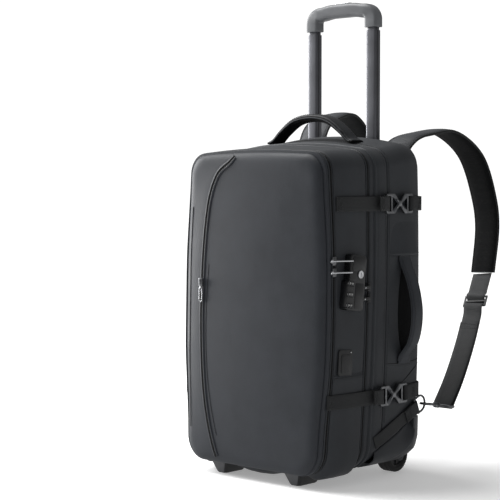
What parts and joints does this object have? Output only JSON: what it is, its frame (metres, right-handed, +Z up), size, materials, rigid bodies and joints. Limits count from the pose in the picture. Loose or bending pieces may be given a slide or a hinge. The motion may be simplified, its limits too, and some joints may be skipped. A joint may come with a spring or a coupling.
{
  "type": "wheeled backpack",
  "caption": "Soft wheeled backpack with a telescopic handle, zipped compartments, compression straps, a combination lock and padded shoulder straps.",
  "frame": {"origin": "on the floor under the middle of the bag's bounding box, handle as pictured", "axes": "+Z up, +X towards the side with the handle and lock, -Y out of the front panel, +Y out of the back"},
  "size_m": [0.3598, 0.4548, 0.7392],
  "materials": {
    "cloth": "matte coated cloth",
    "webbing": "woven webbing",
    "spacer_mesh": "spacer mesh",
    "zip_tape": "coil zip",
    "gunmetal": "satin, dark plated",
    "handle_tube": "satin anodised",
    "grip_plastic": "satin",
    "grey_plastic": "fine grain",
    "black_plastic": "satin",
    "silver_metal": "satin",
    "tyre": "matte"
  },
  "bodies": {
    "bag": {"front_panel": "cloth", "front_zipper": "zip_tape", "lid_gusset": "cloth", "main_zipper": "zip_tape", "expansion_band": "cloth", "main_case": "cloth", "back_panel": "spacer_mesh", "pocket_zipper": "zip_tape", "top_handle": "cloth", "side_handle": "cloth", "upper_buckle_right": "gunmetal", "upper_strap_front_right": "webbing", "upper_strap_rear_right": "webbing", "lower_buckle_right": "gunmetal", "lower_strap_front_right": "webbing", "lower_strap_rear_right": "webbing", "upper_buckle_left": "gunmetal", "upper_strap_front_left": "webbing", "upper_strap_rear_left": "webbing", "lower_buckle_left": "gunmetal", "lower_strap_front_left": "webbing", "lower_strap_rear_left": "webbing", "anchor_webbing_right": "webbing", "d_ring_right": "gunmetal", "snap_hook_right": "gunmetal", "shoulder_pad_right": "spacer_mesh", "shoulder_webbing_right": "webbing", "strap_slider_right": "black_plastic", "anchor_webbing_left": "webbing", "d_ring_left": "gunmetal", "snap_hook_left": "gunmetal", "shoulder_pad_left": "spacer_mesh", "shoulder_webbing_left": "webbing", "strap_slider_left": "black_plastic", "wheel_guard_right": "grey_plastic", "foot_right": "grey_plastic", "wheel_guard_left": "grey_plastic", "foot_left": "grey_plastic", "base_frame": "black_plastic", "front_zip_pull_upper": "silver_metal", "front_zip_pull_lower": "silver_metal", "main_zip_pull_upper": "black_plastic", "main_zip_pull_lower": "black_plastic", "lock_body": "black_plastic", "cable_port": "black_plastic"},
    "handle_lower": {"mid_tube_right": "handle_tube", "mid_tube_left": "handle_tube"},
    "handle_upper": {"inner_tube_right": "handle_tube", "inner_tube_left": "handle_tube", "grip": "grip_plastic"},
    "handle_button": {"grip_button": "silver_metal"},
    "right_wheel": {"wheel_right": "tyre"},
    "left_wheel": {"wheel_left": "tyre"},
    "pocket_pull_tab": {"pocket_pull": "silver_metal"},
    "dial_1": {"lock_dial_1": "black_plastic"},
    "dial_2": {"lock_dial_2": "black_plastic"},
    "dial_3": {"lock_dial_3": "black_plastic"},
    "key_lock": {"key_plug": "silver_metal"},
    "right_gate": {"hook_gate_right": "gunmetal"},
    "left_gate": {"hook_gate_left": "gunmetal"}
  },
  "joints": [
    {"name": "handle_lower_slide", "type": "slide", "parent": "bag", "child": "handle_lower", "axis": [0, 0, 1], "range_m": [-0.165, 0]},
    {"name": "handle_upper_slide", "type": "slide", "parent": "handle_lower", "child": "handle_upper", "axis": [0, 0, 1], "range_m": [0, 0.24]},
    {"name": "grip_button_press", "type": "slide", "parent": "handle_upper", "child": "handle_button", "axis": [0, 0, -1], "range_m": [0, 0.003], "stiffness_N_per_m": 400, "springref_m": -0.002},
    {"name": "right_wheel_spin", "type": "hinge", "parent": "bag", "child": "right_wheel", "pos_m": [0.10809, -0.01184, 0.027], "axis": [1, 0, 0], "continuous": true},
    {"name": "left_wheel_spin", "type": "hinge", "parent": "bag", "child": "left_wheel", "pos_m": [-0.11791, -0.01184, 0.027], "axis": [1, 0, 0], "continuous": true},
    {"name": "pocket_pull_lift", "type": "hinge", "parent": "bag", "child": "pocket_pull_tab", "pos_m": [-0.10407, -0.2233, 0.28948], "axis": [-1, 0, 0], "range_deg": [0, 100]},
    {"name": "dial_1_turn", "type": "hinge", "parent": "bag", "child": "dial_1", "pos_m": [0.15346, -0.17612, 0.30454], "axis": [0, 0.1219, 0.9925], "continuous": true},
    {"name": "dial_2_turn", "type": "hinge", "parent": "bag", "child": "dial_2", "pos_m": [0.15346, -0.17807, 0.28866], "axis": [0, 0.1219, 0.9925], "continuous": true},
    {"name": "dial_3_turn", "type": "hinge", "parent": "bag", "child": "dial_3", "pos_m": [0.15346, -0.18002, 0.27278], "axis": [0, 0.1219, 0.9925], "continuous": true},
    {"name": "key_turn", "type": "hinge", "parent": "bag", "child": "key_lock", "pos_m": [0.15486, -0.15444, 0.31699], "axis": [1, 0, 0], "range_deg": [0, 90]},
    {"name": "right_gate_open", "type": "hinge", "parent": "bag", "child": "right_gate", "pos_m": [0.15546, 0.03539, 0.1038], "axis": [0, -0.1645, -0.9864], "range_deg": [0, 25], "stiffness_Nm_per_rad": 0.02, "springref_deg": -17.19},
    {"name": "left_gate_open", "type": "hinge", "parent": "bag", "child": "left_gate", "pos_m": [-0.16528, 0.03539, 0.1038], "axis": [0, 0.1645, 0.9864], "range_deg": [0, 25], "stiffness_Nm_per_rad": 0.02, "springref_deg": -17.19}
  ]
}
